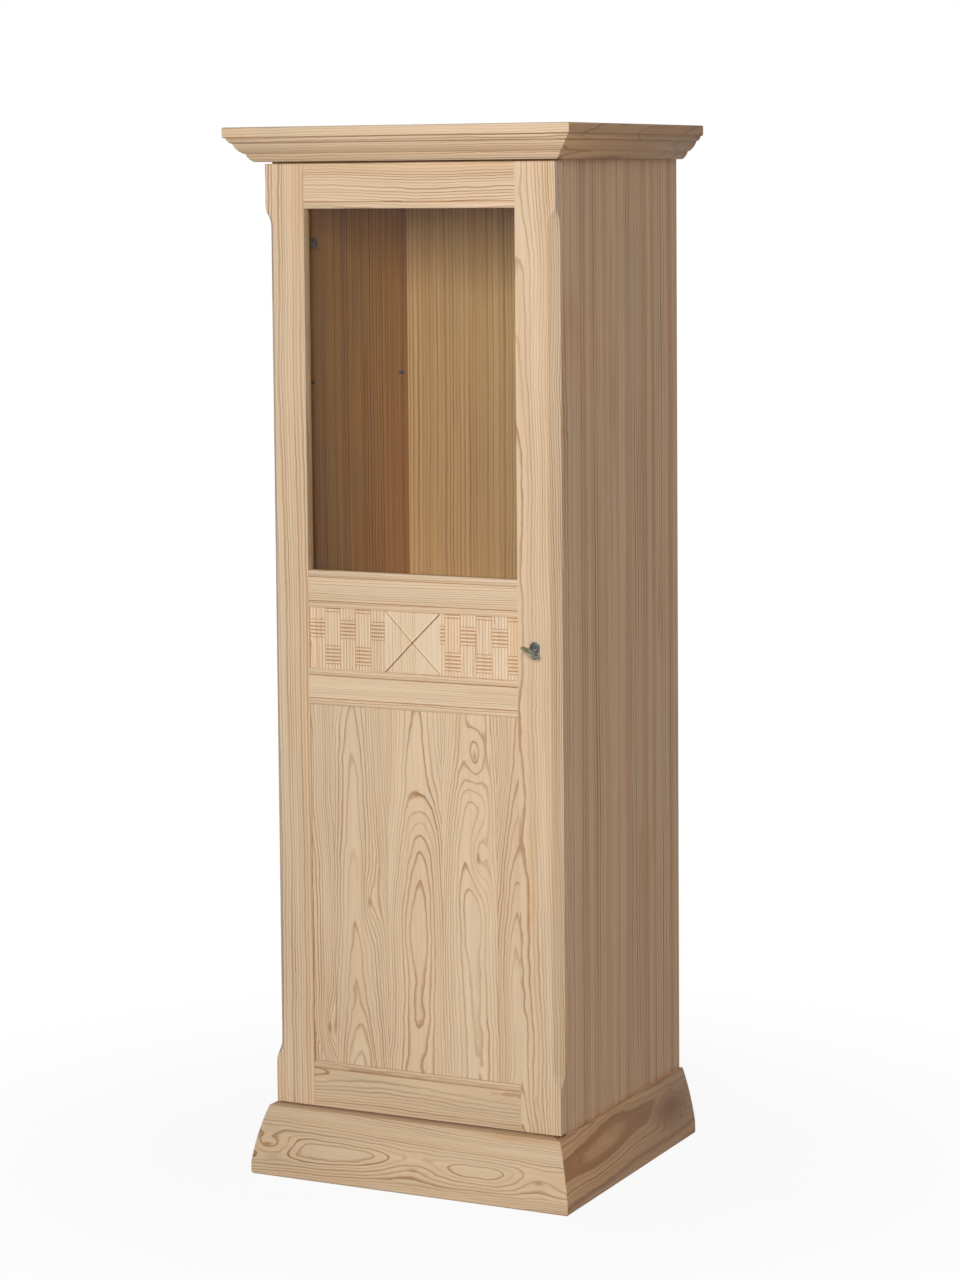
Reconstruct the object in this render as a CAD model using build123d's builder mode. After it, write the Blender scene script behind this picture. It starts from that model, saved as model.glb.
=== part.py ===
"""Display cabinet: a tall one-door pine cabinet with a glazed upper light in the door.

The frame has +Z up and +X to the viewer's right. The door looks towards -Y. The origin lies on
the floor under the middle of the whole cabinet. All sizes are in millimetres.
"""

import math
import os

from build123d import *

# Overall sizes
overall_height = 1900.0
body_width = 571.0
door_front_to_back = 535.0

# Plinth and cornice
plinth_height = 124.5
plinth_spread = 32.5
plinth_front_extra = 12.0
plinth_ledge = 7.0
plinth_foot = 22.0
plinth_bulge = 2.8
plinth_foot_wall = 25.0
plinth_foot_round = 3.0
cornice_height = 61.5
cornice_spread = 54.0
cornice_front_extra = 5.7
cornice_fascia = 17.0
cornice_fascia_wall = 26.0
cornice_soffit = 12.5
cornice_round = 3.0
cornice_bead = 9.0
cornice_ovolo = 18.5
cornice_swell = 0.1
quirk_step = 2.5
corner_block = 45.0

# Carcass boards
side_thickness = 20.0
lipping_depth = 22.0
board_thickness = 18.0
back_thickness = 8.0
back_recess = 17.0
groove_depth = 8.0
groove_play = 0.2

# Door frame
door_thickness = 24.0
door_gap = 2.0
door_top_gap = 3.5
door_bottom_gap = 3.9
stile_width = 77.5
bottom_rail_height = 82.5
lower_panel_height = 654.5
middle_rail_height = 66.0
weave_band_height = 110.0
glass_rail_height = 67.5
top_rail_height = 80.0
bead_width = 11.0
bead_drop = 2.6
bead_sink = 0.3
quirk_width = 2.2
groove_lip = 8.0
groove_width = 8.0
tongue_play = 0.5
panel_recess = 3.5
chamfer_width = 15.0
chamfer_depth = 20.0
chamfer_stop = 72.0
tongue_length = 40.0

# Glass
glass_thickness = 4.0
glass_setback = 14.0
rebate_width = 10.0
glass_play = 1.5
glazing_bead_width = 9.0

# Carved band
pyramid_width = 110.0
pyramid_left = 152.0
pyramid_rise = 2.4
weave_column = 30.8
weave_short = 33.0
weave_period = 94.0
weave_first = 37.8
weave_least = 0.5
reed_count = 5
reed_cut_width = 1.7
reed_cut_depth = 1.3
cell_cut_width = 1.2
right_weave_lead = 9.0

# Shelves and their pins
fixed_shelf_top = 1033.0
shelf_setback = 20.0
loose_shelf_height = 560.0
loose_shelf_play = 1.0
upper_pin_height = 1437.0
pin_radius = 2.5
pin_reach = 9.0
pin_depth = 10.0
pin_hole_play = 0.05
pin_facets = 6
pin_collar_radius = 4.5
pin_collar = 1.5
pin_front_offset = 97.0
pin_back_offset = 33.0
pin_rest_gap = 0.2

# Concealed hinges
hinge_end_distance = 143.5
cup_radius = 17.5
cup_depth = 12.0
cup_wall = 1.2
cup_edge_distance = 5.0
cup_flange = 1.2
cup_flange_height = 62.0
cup_flange_width = 26.0
cup_screw_spacing = 48.0
plate_thickness = 5.0
plate_length = 62.0
plate_height = 42.0
plate_setback = 30.0
plate_wing = 2.5
plate_wing_start = 8.0
plate_wing_width = 16.0
plate_screw_spacing = 32.0
arm_height = 16.0
arm_depth = 11.0
arm_wall = 1.6
arm_length = 100.0
arm_gap = 1.0
arm_play = 0.1
screw_radius = 1.7
screw_head_radius = 3.2
screw_head = 1.6
screw_length = 11.0
screw_play = 0.05
screw_facets = 6
screw_head_slope = 40.0

# Lock, key and escutcheon
lock_height = 986.0
lock_inset = 44.5
lock_case_width = 40.0
lock_case_height = 60.0
lock_case_depth = 13.0
lock_case_wall = 1.4
lock_case_clearance = 3.5
lock_lug = 12.0
bolt_height = 16.0
bolt_thickness = 4.5
bolt_length = 27.0
bolt_throw = 8.0
bolt_play = 0.3
bolt_margin = 1.0
bolt_chamfer = 0.8
cam_radius = 4.0
cam_play = 0.08
cam_finger = 8.5
cam_finger_width = 5.0
cam_finger_thickness = 3.5
cam_overlap = 6.0
strike_thickness = 1.5
strike_width = 20.0
strike_height = 60.0
strike_margin = 1.0
strike_screw_spacing = 50.0
keyhole_radius = 4.6
escutcheon_width = 19.0
escutcheon_height = 31.0
escutcheon_plate = 1.6
escutcheon_rim = 2.6
escutcheon_border = 3.8
escutcheon_bevel = 1.7
shank_radius = 2.3
shank_play = 0.35
collar_radius = 3.6
collar_length = 2.4
bow_width = 36.0
bow_length = 24.0
bow_thickness = 3.0
bow_wall = 6.5
bow_standoff = 9.0
key_tilt = 27.0

# Door buffers
buffer_radius = 4.0
buffer_height = 1.8
buffer_end_distance = 60.0

# Places worked out from the sizes above
half_width = body_width / 2
depth_over_all = door_front_to_back + cornice_spread + cornice_front_extra
door_face = -depth_over_all / 2 + cornice_spread + cornice_front_extra
door_back = door_face + door_thickness
carcass_front = door_back + door_gap
carcass_back = door_face + door_front_to_back
inner_half = half_width - side_thickness
carcass_top = overall_height - cornice_height
back_panel_face = carcass_back - back_recess - back_thickness
door_bottom = plinth_height + door_bottom_gap
door_top = carcass_top - door_top_gap
bottom_rail_top = door_bottom + bottom_rail_height
lower_panel_top = bottom_rail_top + lower_panel_height
middle_rail_top = lower_panel_top + middle_rail_height
weave_top = middle_rail_top + weave_band_height
glass_rail_top = weave_top + glass_rail_height
top_rail_bottom = door_top - top_rail_height
opening_half = half_width - stile_width
groove_front = door_face + groove_lip
rebate_front = door_face + glass_setback
plinth_front_line = door_face - plinth_front_extra
cornice_front_line = door_face - cornice_front_extra
hinge_levels = [
    door_bottom + hinge_end_distance,
    (door_bottom + door_top) / 2,
    door_top - hinge_end_distance,
]
cup_centre_x = -half_width + cup_edge_distance + cup_radius
lock_x = half_width - lock_inset
lock_case_right = inner_half - lock_case_clearance
lock_case_left = lock_case_right - lock_case_width
bolt_front = door_back + lock_case_wall + 2 * bolt_play + cam_finger_thickness
bolt_back = bolt_front + bolt_thickness
bolt_bottom = lock_height + cam_radius + 2 * bolt_play
strike_front = carcass_front + strike_margin
strike_back = strike_front + strike_width
plate_front = carcass_front + plate_setback
rebate_edge = cornice_spread - cornice_fascia_wall
weave_face = door_face + panel_recess
mitre_reach = 2 * max(plinth_spread, cornice_spread)
pin_front_y = carcass_front + pin_front_offset
pin_back_y = back_panel_face - pin_back_offset

os.makedirs("parts", exist_ok=True)


def save(built, name):
    """Labels a finished piece and writes it as one file."""
    built.part.label = name
    export_step(built.part, f"parts/{name}.step")


def block(low, high):
    """Adds a plain board between two corners to the part being built."""
    centre = tuple((a + b) / 2 for a, b in zip(low, high))
    with Locations(centre):
        Box(*[b - a for a, b in zip(low, high)])


def cut(low, high):
    """Cuts a straight groove, rebate or notch between two corners."""
    centre = tuple((a + b) / 2 for a, b in zip(low, high))
    with Locations(centre):
        Box(*[b - a for a, b in zip(low, high)], mode=Mode.SUBTRACT)


def board(name, low, high):
    """Makes a piece that is one plain board."""
    with BuildPart() as piece:
        block(low, high)
    save(piece, name)


# Plinth and cornice mouldings


def plinth_outline():
    """The flared plinth's outline: outward distance from the body's side, then height."""
    foot_top = (plinth_spread, plinth_foot)
    ledge_edge = (plinth_ledge, plinth_height)
    middle_out = (plinth_spread + plinth_ledge) / 2 + plinth_bulge
    middle_up = (plinth_foot + plinth_height) / 2
    with BuildSketch() as outline:
        with BuildLine():
            ThreePointArc(ledge_edge, (middle_out, middle_up), foot_top)
            Polyline(
                foot_top,
                (plinth_spread, plinth_foot_round),
                (plinth_spread - plinth_foot_round, 0),
                (plinth_spread - plinth_foot_wall, 0),
                (-side_thickness, plinth_height - side_thickness),
                (-side_thickness, plinth_height),
                ledge_edge,
            )
        make_face()
    return outline.sketch


def cornice_outline():
    """The cornice's outline: outward distance from the body's side, then height above the carcass."""
    fascia_foot = cornice_height - cornice_fascia
    quirk = fascia_foot - quirk_step
    bead_foot = quirk - cornice_bead
    ovolo_foot = bead_foot - cornice_ovolo
    slope = (cornice_spread - quirk_step - cornice_soffit) / quirk
    bead_out = cornice_soffit + slope * quirk
    ovolo_out = cornice_soffit + slope * bead_foot
    low_out = cornice_soffit + slope * ovolo_foot
    rebate_level = cornice_height - board_thickness
    round_start = (cornice_spread, cornice_height - cornice_round)
    round_end = (cornice_spread - cornice_round, cornice_height)
    with BuildSketch() as outline:
        with BuildLine():
            swelling((cornice_soffit, 0), (low_out - quirk_step, ovolo_foot))
            Line((low_out - quirk_step, ovolo_foot), (low_out, ovolo_foot))
            swelling((low_out, ovolo_foot), (ovolo_out - quirk_step, bead_foot))
            Line((ovolo_out - quirk_step, bead_foot), (ovolo_out, bead_foot))
            swelling((ovolo_out, bead_foot), (bead_out - quirk_step, quirk))
            Line((bead_out - quirk_step, quirk), (bead_out, quirk))
            Line((bead_out, quirk), (cornice_spread, fascia_foot))
            Line((cornice_spread, fascia_foot), round_start)
            RadiusArc(round_start, round_end, -cornice_round)
            Polyline(
                round_end,
                (rebate_edge, cornice_height),
                (rebate_edge, rebate_level),
                (0, rebate_level),
                (0, 0),
                (cornice_soffit, 0),
            )
        make_face()
    return outline.sketch


def swelling(start, end):
    """Draws one rounded member of the cornice, swelling outward and down from its chord."""
    across = end[0] - start[0]
    rise = end[1] - start[1]
    middle = (
        (start[0] + end[0]) / 2 + cornice_swell * rise,
        (start[1] + end[1]) / 2 - cornice_swell * across,
    )
    ThreePointArc(start, middle, end)


def mitre(corner, inward):
    """Keeps what lies on one side of the upright 45 degree plane through a front corner."""
    plane = Plane(origin=(*corner, 0), x_dir=(0, 0, 1), z_dir=(*inward, 0))
    split(bisect_by=plane, keep=Keep.TOP)


def moulding(name, outline, front_line, base, side):
    """Makes one length of moulding: side is -1 for left, 1 for right and 0 for the front."""
    corner_left = (-half_width, front_line)
    corner_right = (half_width, front_line)
    section = outline()
    with BuildPart() as piece:
        if side == 0:
            profile = Plane(
                origin=(-half_width - mitre_reach, front_line, base), x_dir=(0, -1, 0), z_dir=(-1, 0, 0)
            )
            with BuildSketch(profile):
                add(section)
            extrude(amount=-(body_width + 2 * mitre_reach))
            mitre(corner_left, (1, -1))
            mitre(corner_right, (-1, -1))
        else:
            profile = Plane(
                origin=(side * half_width, carcass_back, base),
                x_dir=(side, 0, 0),
                z_dir=(0, -side, 0),
            )
            with BuildSketch(profile):
                add(section)
            extrude(amount=side * (carcass_back - front_line + mitre_reach))
            mitre(corner_right if side > 0 else corner_left, (side, 1))
    save(piece, name)


def plinth():
    """The flared plinth frame that the carcass stands on."""
    for name, side in (("plinth_left", -1), ("plinth_front", 0), ("plinth_right", 1)):
        moulding(name, plinth_outline, plinth_front_line, 0, side)
    ledge_back = carcass_front + groove_depth
    board(
        "plinth_front_ledge",
        (-inner_half, plinth_front_line + side_thickness, plinth_height - side_thickness),
        (inner_half, ledge_back, plinth_height),
    )
    board(
        "plinth_back_rail",
        (-inner_half, carcass_back - side_thickness, 0),
        (inner_half, carcass_back, plinth_height),
    )
    block_top = plinth_height - side_thickness
    with BuildPart() as blocks:
        for side in (-1, 1):
            outer = side * inner_half
            inner = side * (inner_half - corner_block)
            for face, step in (
                (plinth_front_line + side_thickness, 1),
                (carcass_back - side_thickness, -1),
            ):
                with BuildSketch(Plane.XY):
                    with BuildLine():
                        Polyline(
                            (outer, face), (inner, face), (outer, face + step * corner_block), close=True
                        )
                    make_face()
                extrude(amount=block_top)
    save(blocks, "plinth_corner_blocks")


def cornice():
    """The mitred cornice box on top of the carcass."""
    for name, side in (("cornice_left", -1), ("cornice_front", 0), ("cornice_right", 1)):
        moulding(name, cornice_outline, cornice_front_line, carcass_top, side)
    board(
        "cornice_base_board",
        (-half_width, cornice_front_line, carcass_top),
        (half_width, carcass_back, carcass_top + board_thickness),
    )
    board(
        "cornice_top_board",
        (-half_width - rebate_edge, cornice_front_line - rebate_edge, overall_height - board_thickness),
        (half_width + rebate_edge, carcass_back, overall_height),
    )
    board(
        "cornice_back_rail",
        (-half_width, carcass_back - board_thickness, carcass_top + board_thickness),
        (half_width, carcass_back, overall_height - board_thickness),
    )


# Carcass


def pin_levels():
    """Heights of the pin centres: the empty upper set, then the set under the loose shelf."""
    return (upper_pin_height, loose_shelf_height - pin_rest_gap - pin_radius)


def pin_tail(play):
    """The faceted tail of a shelf pin, or its hole; it starts at the origin and runs down."""
    with BuildPart() as tail:
        with BuildSketch(Plane.XY):
            RegularPolygon(pin_radius + play, pin_facets)
        extrude(amount=-(pin_depth + play - pin_hole_play))
    return tail.part


def pin_places(side, levels):
    """Where the pins of one side stand out of its inner face."""
    return [
        Location((side * inner_half, y, level), (0, side * -90, 0))
        for level in levels
        for y in (pin_front_y, pin_back_y)
    ]


def side_panel(name, side):
    """One glued side board, with the back groove, the pin holes and the right side's bolt pocket."""
    inner = side * inner_half
    low_x, high_x = sorted((inner, side * half_width))
    with BuildPart() as panel:
        block(
            (low_x, carcass_front + lipping_depth, plinth_height), (high_x, carcass_back, carcass_top)
        )
        groove_x = sorted((inner, inner + side * groove_depth))
        cut(
            (groove_x[0], back_panel_face, plinth_height),
            (groove_x[1], back_panel_face + back_thickness + groove_play, carcass_top),
        )
        hole = pin_tail(pin_hole_play)
        with Locations(*pin_places(side, pin_levels())):
            add(hole, mode=Mode.SUBTRACT)
        if side < 0:
            screw_holes(plate_screw_places())
    save(panel, name)


def side_lipping(name, side):
    """The solid strip on the front edge of a side; the right one is pocketed for the bolt."""
    low_x, high_x = sorted((side * inner_half, side * half_width))
    with BuildPart() as strip:
        block(
            (low_x, carcass_front, plinth_height), (high_x, carcass_front + lipping_depth, carcass_top)
        )
        if side > 0:
            cut(
                (inner_half, bolt_front - bolt_margin, bolt_bottom - bolt_margin),
                (
                    inner_half + bolt_throw,
                    bolt_back + bolt_margin,
                    bolt_bottom + bolt_height + bolt_margin,
                ),
            )
            cut(
                (inner_half, strike_front, lock_height - strike_height / 2),
                (inner_half + strike_thickness, strike_back, lock_height + strike_height / 2),
            )
            screw_holes(strike_screw_places())
    save(strip, name)


def carcass():
    """Sides, boards, fixed shelf and back."""
    for name, side in (("left", -1), ("right", 1)):
        side_panel(f"side_panel_{name}", side)
        side_lipping(f"side_lipping_{name}", side)
    slot_high = back_panel_face + back_thickness + groove_play
    with BuildPart() as bottom:
        block(
            (-inner_half, carcass_front, plinth_height),
            (inner_half, carcass_back, plinth_height + board_thickness),
        )
        cut(
            (-inner_half, back_panel_face, plinth_height + board_thickness - groove_depth),
            (inner_half, slot_high, plinth_height + board_thickness),
        )
    save(bottom, "bottom_board")
    with BuildPart() as top:
        block(
            (-inner_half, carcass_front, carcass_top - board_thickness),
            (inner_half, carcass_back, carcass_top),
        )
        cut(
            (-inner_half, back_panel_face, carcass_top - board_thickness),
            (inner_half, slot_high, carcass_top - board_thickness + groove_depth),
        )
    save(top, "top_board")
    board(
        "fixed_shelf",
        (-inner_half, carcass_front + shelf_setback, fixed_shelf_top - board_thickness),
        (inner_half, back_panel_face, fixed_shelf_top),
    )
    tongue = groove_depth - groove_play
    board(
        "back_panel",
        (-inner_half - tongue, back_panel_face, plinth_height + board_thickness - tongue),
        (inner_half + tongue, back_panel_face + back_thickness, carcass_top - board_thickness + tongue),
    )


def shelves_and_pins():
    """The shelf that lifts off its pins, and both sets of four metal pins."""
    board(
        "loose_shelf",
        (-inner_half + loose_shelf_play, carcass_front + shelf_setback, loose_shelf_height),
        (
            inner_half - loose_shelf_play,
            back_panel_face - loose_shelf_play,
            loose_shelf_height + board_thickness,
        ),
    )
    tail = pin_tail(0)
    for name, level in zip(("upper_shelf_pins", "lower_shelf_pins"), pin_levels()):
        with BuildPart() as pins:
            with Locations(*pin_places(-1, [level]), *pin_places(1, [level])):
                Cylinder(pin_radius, pin_reach, align=(Align.CENTER, Align.CENTER, Align.MIN))
                add(tail)
                if name == "upper_shelf_pins":
                    Cylinder(
                        pin_collar_radius, pin_collar, align=(Align.CENTER, Align.CENTER, Align.MIN)
                    )
        save(pins, name)


# Door


def chamfer_cutter(side):
    """The stopped chamfer, with a lamb's tongue at each end, for a stile's outer front edge."""
    slope = math.hypot(chamfer_width, chamfer_depth)
    inward = (-side * chamfer_depth / slope, chamfer_width / slope, 0)
    along = (inward[1], -inward[0], 0)
    full = chamfer_width * chamfer_depth / slope
    low = door_bottom + chamfer_stop
    high = door_top - chamfer_stop
    corner = Plane(origin=(side * half_width, door_face, 0), x_dir=inward, z_dir=along)
    with BuildPart() as cutter:
        with BuildSketch(corner):
            with BuildLine():
                Polyline((0, low), (-chamfer_width, low), (-chamfer_width, high), (0, high))
                tongue_end(high, high - tongue_length, full)
                Line((full, high - tongue_length), (full, low + tongue_length))
                tongue_end(low, low + tongue_length, full)
            make_face()
        extrude(amount=2 * slope, both=True)
    return cutter.part


def tongue_end(start, stop, full):
    """Draws the double curve by which a chamfer of the full depth runs out."""
    middle = (start + stop) / 2
    Bezier((0, start), (0, middle), (full, middle), (full, stop))


def stile(name, side):
    """An upright of the door, grooved for the panels and rebated for the glass."""
    inner = side * opening_half
    low_x, high_x = sorted((inner, side * half_width))
    cutter = chamfer_cutter(side)
    with BuildPart() as upright:
        block((low_x, door_face, door_bottom), (high_x, door_back, door_top))
        groove_x = sorted((inner, inner + side * rebate_width))
        for low_z, high_z in ((door_bottom, glass_rail_top), (top_rail_bottom, door_top)):
            cut(
                (groove_x[0], groove_front, low_z),
                (groove_x[1], groove_front + groove_width, high_z),
            )
        cut(
            (groove_x[0], rebate_front, glass_rail_top - rebate_width),
            (groove_x[1], door_back, top_rail_bottom + rebate_width),
        )
        add(cutter, mode=Mode.SUBTRACT)
        if side < 0:
            for level in hinge_levels:
                with Locations(Location((cup_centre_x, door_back, level), (90, 0, 0))):
                    Cylinder(cup_radius, 2 * cup_depth, mode=Mode.SUBTRACT)
            screw_holes(cup_screw_places())
        else:
            screw_holes(lock_screw_places())
            with Locations(Location((lock_x, (door_face + door_back) / 2, lock_height), (90, 0, 0))):
                Cylinder(keyhole_radius, 2 * door_thickness, mode=Mode.SUBTRACT)
    save(upright, name)


def bead_waste(edge, up):
    """What a rail loses at its front edge round a bead and its quirk; up points into the rail."""
    inner = edge + up * bead_width
    bead_foot = (door_face + bead_drop, edge)
    quirk_foot = (door_face + bead_drop, inner)
    with BuildSketch() as waste:
        with BuildLine():
            ThreePointArc(bead_foot, (door_face + bead_sink, (edge + inner) / 2), quirk_foot)
            Polyline(quirk_foot, (door_face, inner + up * quirk_width), (door_face, edge), bead_foot)
        make_face()
    return waste.sketch


def rail(name, low, high, low_edge, high_edge):
    """A cross rail: each edge is plain, panel (bead and groove) or glass (bead and rebate)."""
    edges = ((low, 1, low_edge), (high, -1, high_edge))
    wastes = [bead_waste(edge, up) for edge, up, kind in edges if kind != "plain"]
    with BuildPart() as cross:
        with BuildSketch(Plane.YZ.offset(-opening_half)):
            with Locations(((door_face + door_back) / 2, (low + high) / 2)):
                Rectangle(door_thickness, high - low)
            for waste in wastes:
                add(waste, mode=Mode.SUBTRACT)
            for edge, up, kind in edges:
                if kind == "panel":
                    with Locations((groove_front + groove_width / 2, edge)):
                        Rectangle(groove_width, 2 * groove_depth, mode=Mode.SUBTRACT)
                if kind == "glass":
                    with Locations((door_back, edge)):
                        Rectangle(
                            2 * (door_back - rebate_front), 2 * rebate_width, mode=Mode.SUBTRACT
                        )
        extrude(amount=2 * opening_half)
        inset_low = groove_depth + tongue_play if low_edge == "panel" else 0
        inset_high = groove_depth + tongue_play if high_edge == "panel" else 0
        if low_edge == "glass":
            inset_low = rebate_width
        if high_edge == "glass":
            inset_high = rebate_width
        for side in (-1, 1):
            ends = sorted((side * opening_half, side * (opening_half + rebate_width - tongue_play)))
            block(
                (ends[0], groove_front, low + inset_low),
                (ends[1], groove_front + groove_width, high - inset_high),
            )
    save(cross, name)


def framed_panel(name, low, high, face):
    """A panel held by a tongue all round in the grooves of its stiles and rails."""
    tongue = groove_depth - tongue_play
    with BuildPart() as panel:
        block(
            (-opening_half - tongue, groove_front, low - tongue),
            (opening_half + tongue, groove_front + groove_width, high + tongue),
        )
        if face < groove_front:
            block((-opening_half, face, low), (opening_half, groove_front, high))
    save(panel, name)


def weave_cells(start, end, first_upper, lead):
    """Lists the woven cells of a carved block as left, right, bottom, top and direction."""
    cells = []
    left = start
    width = lead
    upper = first_upper
    while left < end - weave_least:
        right = min(left + width, end)
        centre = weave_top - weave_first - (0 if upper else weave_period / 2)
        for turn in (-1, 0, 1):
            middle = centre - turn * weave_period
            top = min(middle + weave_short / 2, weave_top)
            bottom = max(middle - weave_short / 2, middle_rail_top)
            if top > bottom:
                cells.append((left, right, bottom, top, "across"))
            long_top = min(middle - weave_short / 2, weave_top)
            long_bottom = max(middle + weave_short / 2 - weave_period, middle_rail_top)
            if long_top > long_bottom:
                cells.append((left, right, long_bottom, long_top, "upright"))
        left = right
        width = weave_column
        upper = not upper
    return cells


def woven_block(name, start, end, first_upper, lead):
    """A carved block: short bundles of cross reeds woven over upright ones."""
    with BuildPart() as carved:
        block((start, weave_face, middle_rail_top), (end, groove_front, weave_top))
        with BuildSketch(Plane.XZ.offset(-weave_face)):
            for left, right, bottom, top, direction in weave_cells(start, end, first_upper, lead):
                reed_cuts(left, right, bottom, top, direction)
        extrude(amount=-reed_cut_depth, mode=Mode.SUBTRACT)
    save(carved, name)


def reed_cuts(left, right, bottom, top, direction):
    """Draws the cuts between the reeds of one cell."""
    margin = cell_cut_width
    if direction == "across":
        pitch = weave_short / reed_count
        centre = (top + bottom) / 2
        count = max(1, round((top - bottom) / pitch))
        for index in range(count):
            level = centre + (index - (count - 1) / 2) * pitch
            with Locations(((left + right) / 2, level)):
                Rectangle(right - left - 2 * margin, reed_cut_width)
    else:
        pitch = weave_column / reed_count
        count = max(1, round((right - left) / pitch)) - 1
        length = top - bottom - 2 * margin
        if length > margin:
            for index in range(count):
                across = (left + right) / 2 + (index - (count - 1) / 2) * pitch
                with Locations((across, (bottom + top) / 2)):
                    Rectangle(cell_cut_width, length)


def carved_band():
    """The carved band: a backing, two woven blocks and a low pyramid between them."""
    framed_panel("band_backing", middle_rail_top, weave_top, groove_front)
    left_end = -opening_half + pyramid_left
    right_start = left_end + pyramid_width
    woven_block("woven_block_left", -opening_half, left_end, True, weave_column)
    woven_block("woven_block_right", right_start, opening_half, True, right_weave_lead)
    pyramid_block(left_end, right_start)


def pyramid_block(left_end, right_end):
    """The square block with four shallow facets that meet in the middle of its face."""
    middle = ((left_end + right_end) / 2, weave_face, (middle_rail_top + weave_top) / 2)
    with BuildPart() as pyramid:
        block((left_end, weave_face, middle_rail_top), (right_end, groove_front, weave_top))
        for side in (-1, 1):
            half = pyramid_width / 2
            split(bisect_by=facet_plane(middle, (side * pyramid_rise, -half, 0)), keep=Keep.BOTTOM)
            half = weave_band_height / 2
            split(bisect_by=facet_plane(middle, (0, -half, side * pyramid_rise)), keep=Keep.BOTTOM)
    save(pyramid, "pyramid_block")


def facet_plane(peak, outward):
    """The plane of one facet, through the block's peak."""
    return Plane(origin=peak, z_dir=outward)


def glazing():
    """The pane and the four beads that hold it from behind."""
    low = glass_rail_top - rebate_width + glass_play
    high = top_rail_bottom + rebate_width - glass_play
    half = opening_half + rebate_width - glass_play
    board(
        "glass_pane",
        (-half, rebate_front, low),
        (half, rebate_front + glass_thickness, high),
    )
    outer_half = opening_half + rebate_width
    outer_low = glass_rail_top - rebate_width
    outer_high = top_rail_bottom + rebate_width
    bead_front = rebate_front + glass_thickness
    with BuildPart() as level_beads:
        for edge, up in ((outer_low, 1), (outer_high, -1)):
            ends = sorted((edge, edge + up * glazing_bead_width))
            block((-outer_half, bead_front, ends[0]), (outer_half, door_back, ends[1]))
    save(level_beads, "glazing_beads_level")
    with BuildPart() as upright_beads:
        for side in (-1, 1):
            ends = sorted((side * outer_half, side * (outer_half - glazing_bead_width)))
            block(
                (ends[0], bead_front, outer_low + glazing_bead_width),
                (ends[1], door_back, outer_high - glazing_bead_width),
            )
    save(upright_beads, "glazing_beads_upright")


def door():
    """The framed door."""
    stile("stile_hinge_side", -1)
    stile("stile_lock_side", 1)
    rail("rail_bottom", door_bottom, bottom_rail_top, "plain", "panel")
    rail("rail_middle", lower_panel_top, middle_rail_top, "panel", "panel")
    rail("rail_under_glass", weave_top, glass_rail_top, "panel", "glass")
    rail("rail_top", top_rail_bottom, door_top, "glass", "plain")
    framed_panel("lower_panel", bottom_rail_top, lower_panel_top, weave_face)
    carved_band()
    glazing()
    with BuildPart() as buffers:
        for level in (door_bottom + buffer_end_distance, door_top - buffer_end_distance):
            with Locations(
                Location((half_width - side_thickness / 2, door_back, level), (-90, 0, 0))
            ):
                Cylinder(buffer_radius, buffer_height, align=(Align.CENTER, Align.CENTER, Align.MIN))
    save(buffers, "door_buffers")


# Screws, hinges and lock


def screw(play):
    """A countersunk wood screw with facets: its head is at the origin, its tip above."""
    with BuildPart() as fastener:
        with BuildSketch(Plane.XY):
            RegularPolygon(screw_radius + play, screw_facets)
        extrude(amount=screw_length + play)
        with BuildSketch(Plane.XY):
            RegularPolygon(screw_head_radius + play, screw_facets)
        extrude(amount=screw_head, taper=screw_head_slope)
    return fastener.part


def screw_holes(places):
    """Cuts the holes for a set of screws in the piece being built."""
    hole = screw(screw_play)
    with Locations(*places):
        add(hole, mode=Mode.SUBTRACT)


def screws(name, places):
    """Writes one set of like screws as a group."""
    fastener = screw(0)
    with BuildPart() as group:
        with Locations(*places):
            add(fastener)
    save(group, name)


def cup_screw_places():
    """Two screws above and below each cup, driven forward into the door."""
    face = door_back + cup_flange
    return [
        Location((cup_centre_x, face, level + side * cup_screw_spacing / 2), (90, 0, 0))
        for level in hinge_levels
        for side in (-1, 1)
    ]


def plate_screw_places():
    """Two screws in the wings of each mounting plate, driven into the left side."""
    along = plate_front + plate_wing_start + plate_wing_width / 2
    return [
        Location((-inner_half + plate_wing, along, level + side * plate_screw_spacing / 2), (0, -90, 0))
        for level in hinge_levels
        for side in (-1, 1)
    ]


def lock_screw_places():
    """Two screws through the lugs above and below the lock case into the door."""
    across = (lock_case_left + lock_case_right) / 2
    away = (lock_case_height + lock_lug) / 2
    return [
        Location((across, door_back + lock_case_wall, lock_height + side * away), (90, 0, 0))
        for side in (-1, 1)
    ]


def strike_screw_places():
    """Two screws through the strike plate into the right lipping."""
    along = (strike_front + strike_back) / 2
    return [
        Location((inner_half, along, lock_height + side * strike_screw_spacing / 2), (0, 90, 0))
        for side in (-1, 1)
    ]


def hinge_cups():
    """The pressed cups sunk in the door's back, each with its flange."""
    with BuildPart() as cups:
        for level in hinge_levels:
            with Locations(Location((cup_centre_x, door_back, level), (90, 0, 0))):
                Cylinder(cup_radius, cup_depth, align=(Align.CENTER, Align.CENTER, Align.MIN))
            block(
                (cup_centre_x - cup_flange_width / 2, door_back, level - cup_flange_height / 2),
                (
                    cup_centre_x + cup_flange_width / 2,
                    door_back + cup_flange,
                    level + cup_flange_height / 2,
                ),
            )
            with Locations(Location((cup_centre_x, door_back + cup_flange, level), (90, 0, 0))):
                Cylinder(
                    cup_radius - cup_wall,
                    cup_depth + cup_flange - cup_wall,
                    align=(Align.CENTER, Align.CENTER, Align.MIN),
                    mode=Mode.SUBTRACT,
                )
        screw_holes(cup_screw_places())
    save(cups, "hinge_cups")


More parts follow.
